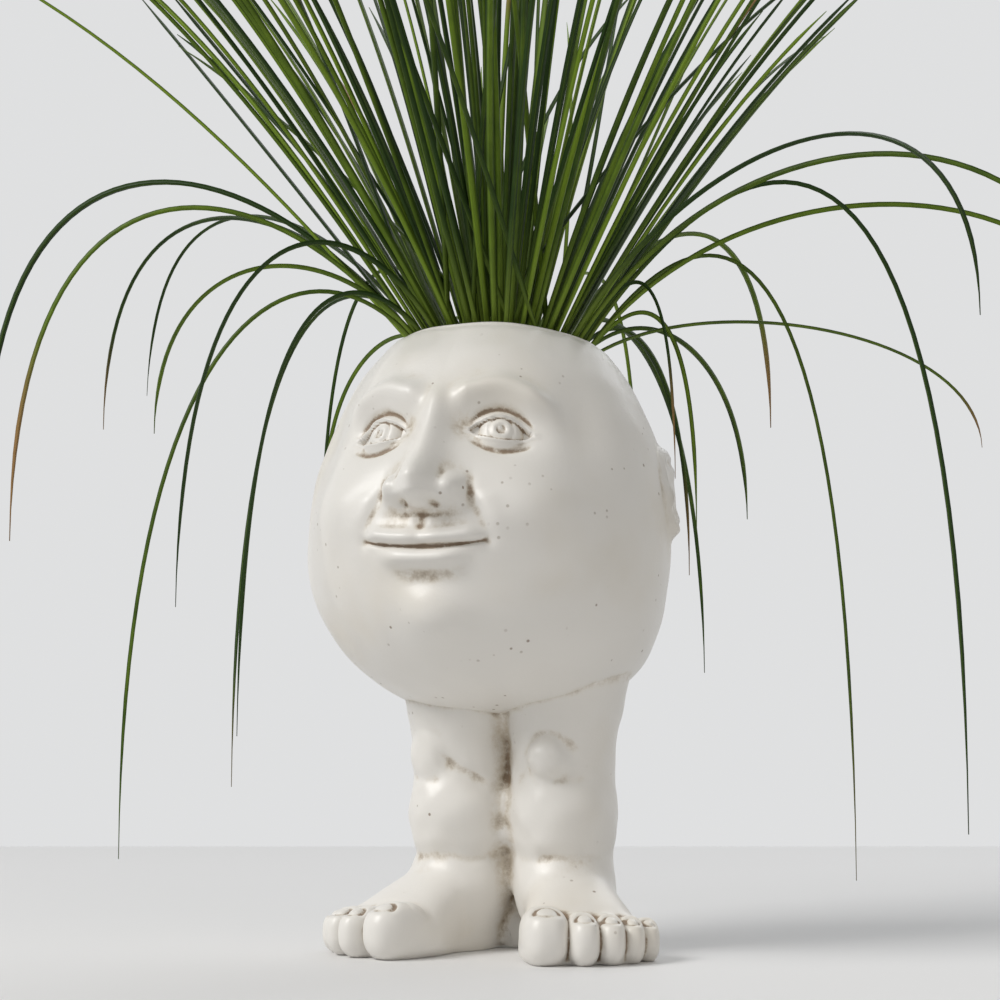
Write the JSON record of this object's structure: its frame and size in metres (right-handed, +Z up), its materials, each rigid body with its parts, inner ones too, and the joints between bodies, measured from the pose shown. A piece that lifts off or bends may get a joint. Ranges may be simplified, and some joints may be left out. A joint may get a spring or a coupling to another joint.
{
  "type": "head planter",
  "caption": "Cast planter in the form of a head standing on bare-footed legs, with an open crown that holds a lift-out grow pot of long arching grass and a plugged drain.",
  "frame": {"origin": "on the floor, under the middle of the head", "axes": "+Z up, the face looks along -Y, +X to the planter's own left"},
  "size_m": [0.5556, 0.5127, 0.6042],
  "materials": {
    "cast_white": "satin antique white with a brown wash in the creases",
    "plug_rubber": "matt",
    "pot_plastic": "matt black",
    "soil": "loose dark soil",
    "leaf_sheath": "pale green sheaths",
    "leaf_green": "satin leaf"
  },
  "bodies": {
    "planter": {"head_front": "cast_white", "head_back": "cast_white", "leg_stand": "cast_white"},
    "plug": {"drain_plug": "plug_rubber"},
    "plant_pot": {"grow_pot": "pot_plastic", "potting_soil": "soil", "plant_crown": "leaf_sheath", "leaves_heart": "leaf_green", "leaves_inner": "leaf_green", "leaves_outer": "leaf_green", "leaves_trailing_left": "leaf_green", "leaves_trailing_right": "leaf_green", "leaves_trailing_back": "leaf_green"}
  },
  "joints": [
    {"name": "grow_pot_lift", "type": "slide", "parent": "planter", "child": "plant_pot", "axis": [0, 0.1736, 0.9848], "range_m": [0, 0.16]},
    {"name": "drain_plug_pull", "type": "slide", "parent": "planter", "child": "plug", "axis": [0, 0, -1], "range_m": [0, 0.018]}
  ]
}
